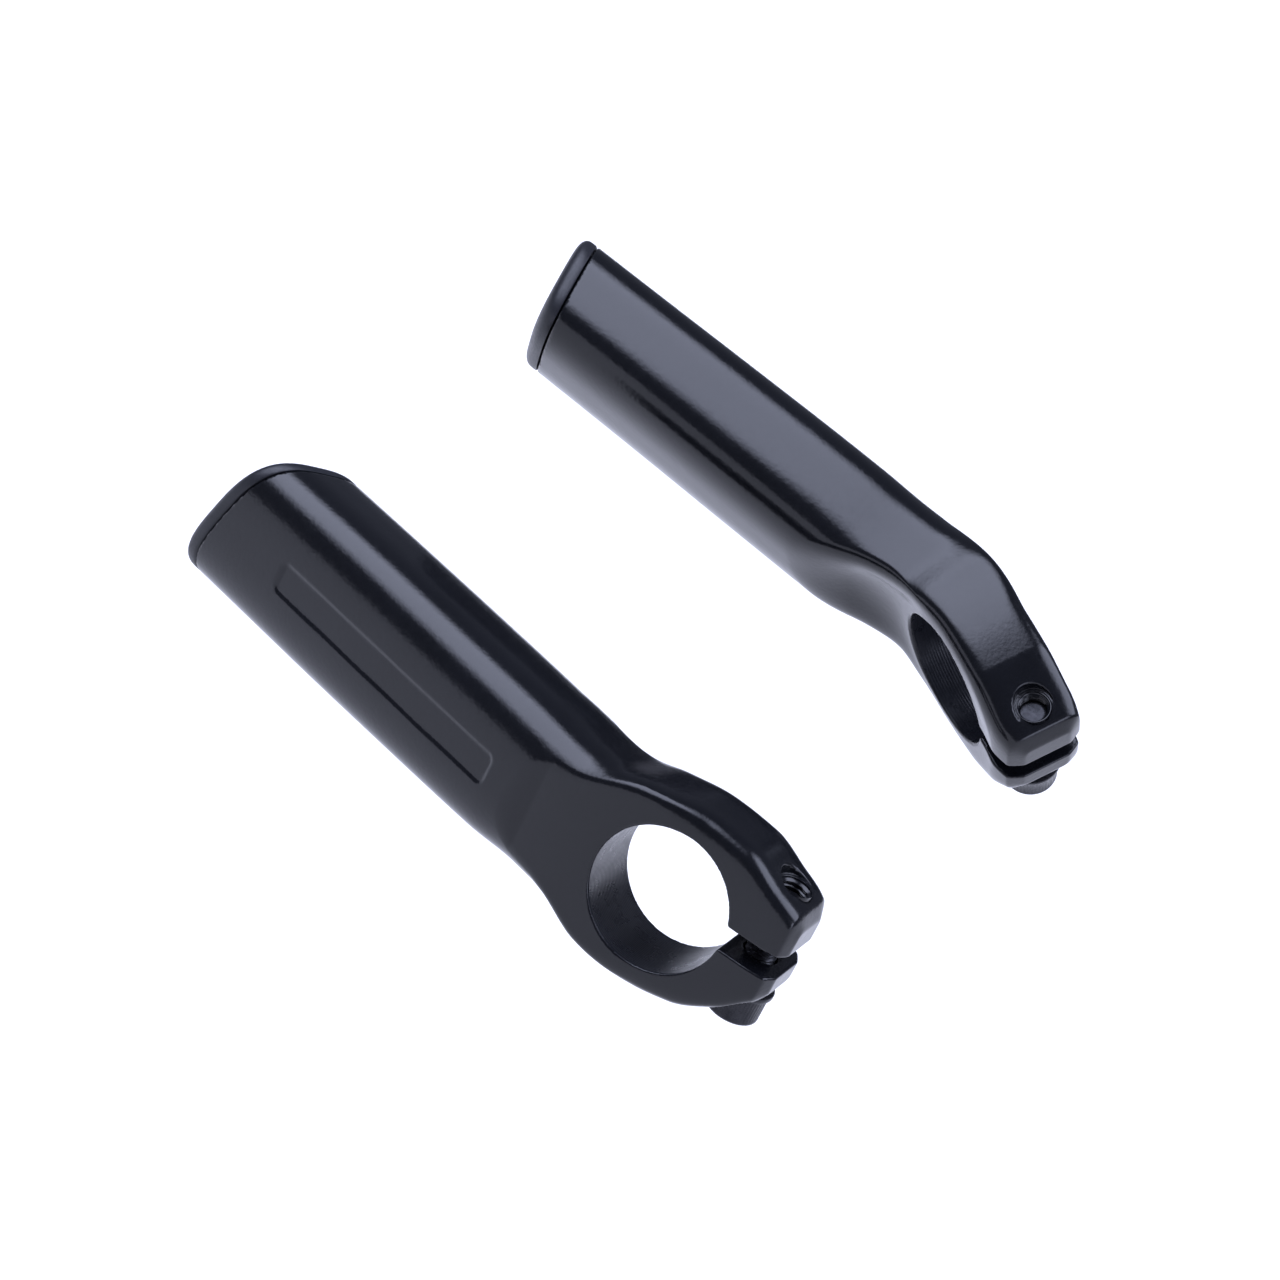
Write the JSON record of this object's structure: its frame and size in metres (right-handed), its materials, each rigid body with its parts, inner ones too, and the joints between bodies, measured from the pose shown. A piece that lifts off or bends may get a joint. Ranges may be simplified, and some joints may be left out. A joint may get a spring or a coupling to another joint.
{
  "type": "handlebar bar end pair",
  "caption": "Mirrored pair of short forged bar ends for a straight handlebar, each a hollow bent grip with a split clamp ring, pinch bolt, washer and plastic end cap.",
  "frame": {"origin": "centre of the left bar end's handlebar bore, midway along the clamp", "axes": "+Y runs along the left bore towards the inner side of the clamp, to which the left grip bends, the left grip leaves towards -X, and +Z is the side of the left clamp with the tapped ear. The right bar end, a mirror image, is turned and placed beside it, as the pair is laid out"},
  "size_m": [0.1346, 0.0997, 0.0644],
  "materials": {
    "arm_paint": "gloss black",
    "cap_plastic": "matte black, finely textured",
    "bolt_steel": "black oxide",
    "washer_steel": "black oxide"
  },
  "bodies": {
    "left_arm": {"left_arm": "arm_paint"},
    "left_end_cap": {"left_end_cap": "cap_plastic"},
    "left_washer": {"left_washer": "washer_steel"},
    "left_pinch_bolt": {"left_pinch_bolt": "bolt_steel"},
    "right_arm": {"right_arm": "arm_paint"},
    "right_end_cap": {"right_end_cap": "cap_plastic"},
    "right_washer": {"right_washer": "washer_steel"},
    "right_pinch_bolt": {"right_pinch_bolt": "bolt_steel"}
  },
  "joints": [
    {"name": "left_cap_pull", "type": "slide", "parent": "left_arm", "child": "left_end_cap", "axis": [-0.9481, 0.3172, -0.0227], "range_m": [0, 0.015]},
    {"name": "left_bolt_travel", "type": "slide", "parent": "left_arm", "child": "left_washer", "axis": [0, 0, -1], "range_m": [0, 0.0176]},
    {"name": "left_bolt_turn", "type": "hinge", "parent": "left_washer", "child": "left_pinch_bolt", "pos_m": [0.0155, 0, 0], "axis": [0, 0, -1], "range_deg": [0, 7920]},
    {"name": "right_bar_end_place", "type": "slide", "parent": "left_arm", "child": "right_arm", "axis": [0, 0, 1], "range_m": [0, 0.06]},
    {"name": "right_cap_pull", "type": "slide", "parent": "right_arm", "child": "right_end_cap", "axis": [-0.9838, 0.177, 0.0277], "range_m": [0, 0.015]},
    {"name": "right_bolt_travel", "type": "slide", "parent": "right_arm", "child": "right_washer", "axis": [0.0827, 0.6992, -0.7101], "range_m": [0, 0.0176]},
    {"name": "right_bolt_turn", "type": "hinge", "parent": "right_washer", "child": "right_pinch_bolt", "pos_m": [0.02548, 0.0538, 0.0273], "axis": [0.0827, 0.6992, -0.7101], "range_deg": [0, 7920]}
  ],
  "couplings": [
    {"joint": "left_bolt_turn", "follows": "left_bolt_travel", "rad_per_m": 7854},
    {"joint": "right_bolt_turn", "follows": "right_bolt_travel", "rad_per_m": 7854}
  ]
}
